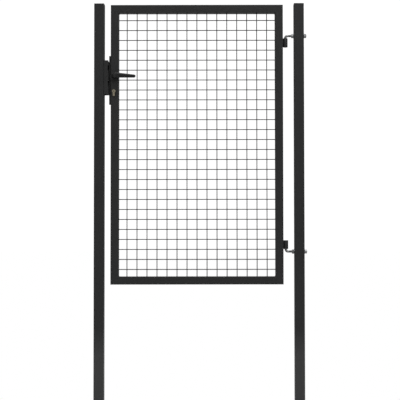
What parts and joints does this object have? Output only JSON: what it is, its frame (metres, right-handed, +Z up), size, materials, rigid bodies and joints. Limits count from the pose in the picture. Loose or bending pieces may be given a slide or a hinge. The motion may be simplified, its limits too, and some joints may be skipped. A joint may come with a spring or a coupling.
{
  "type": "garden gate",
  "caption": "Swinging garden gate: welded mesh in a square tube frame on bolt hinges between two posts, with a lever latch and a keyed deadbolt.",
  "frame": {"origin": "on the ground, midway between the two posts and in their middle plane", "axes": "+Z up along the posts, +X from the latch post to the hinge post, -Y towards the side that the leaf opens to"},
  "size_m": [1.0635, 0.124, 2],
  "materials": {
    "coated_steel": "satin powder coat, dark grey",
    "zinc_plate": "bright zinc plate",
    "lock_steel": "bright zinc plate",
    "black_polyamide": "fine grain, black",
    "black_acetal": "smooth, black",
    "nickel_brass": "matt nickel over brass"
  },
  "bodies": {
    "posts": {"latch_post": "coated_steel", "hinge_post": "coated_steel", "post_caps": "coated_steel", "upper_gudgeon": "zinc_plate", "lower_gudgeon": "zinc_plate", "gudgeon_nuts": "zinc_plate", "gudgeon_washers": "zinc_plate", "keeper_channel": "coated_steel", "keeper_strike": "coated_steel", "keeper_bolts": "zinc_plate"},
    "leaf": {"top_rail": "coated_steel", "bottom_rail": "coated_steel", "hinge_stile": "coated_steel", "latch_stile": "coated_steel", "mesh_vertical_wires": "coated_steel", "mesh_horizontal_wires": "coated_steel", "upper_hinge_barrel": "coated_steel", "lower_hinge_barrel": "coated_steel", "lock_pad": "coated_steel", "forend": "coated_steel", "forend_screws": "zinc_plate", "lock_case": "lock_steel", "lock_case_lid": "lock_steel", "case_rivets": "lock_steel", "rose_bases": "lock_steel", "rose_covers": "black_polyamide", "rose_bushes": "black_acetal", "rose_screws": "lock_steel", "return_springs": "lock_steel", "cylinder_body": "nickel_brass", "cylinder_screw": "zinc_plate", "latch_spring": "lock_steel"},
    "handle": {"front_lever": "black_polyamide", "rear_knob": "black_polyamide", "lever_screws": "lock_steel", "spindle": "lock_steel", "follower": "lock_steel"},
    "latch": {"latch_bolt": "lock_steel"},
    "deadbolt": {"deadbolt": "lock_steel"},
    "key_plug": {"front_plug": "nickel_brass", "rear_plug": "nickel_brass", "cylinder_cam": "lock_steel"}
  },
  "joints": [
    {"name": "leaf_swing", "type": "hinge", "parent": "posts", "child": "leaf", "pos_m": [0.4325, 0, 0.593], "axis": [0, 0, 1], "range_deg": [0, 100]},
    {"name": "handle_turn", "type": "hinge", "parent": "leaf", "child": "handle", "pos_m": [-0.4255, 0, 1.63], "axis": [0, 1, 0], "range_deg": [0, 40], "stiffness_Nm_per_rad": 1.5, "springref_deg": -20.05},
    {"name": "latch_slide", "type": "slide", "parent": "leaf", "child": "latch", "axis": [1, 0, 0], "range_m": [0, 0.012], "deforming": ["latch_spring"]},
    {"name": "plug_turn", "type": "hinge", "parent": "leaf", "child": "key_plug", "pos_m": [-0.4255, 0, 1.558], "axis": [0, 1, 0], "range_deg": [0, 360]},
    {"name": "deadbolt_slide", "type": "slide", "parent": "leaf", "child": "deadbolt", "axis": [-1, 0, 0], "range_m": [0, 0.02]}
  ],
  "couplings": [
    {"joint": "handle_turn", "follows": "latch_slide", "rad_per_m": 58.177},
    {"joint": "plug_turn", "follows": "deadbolt_slide", "rad_per_m": 314.16}
  ]
}
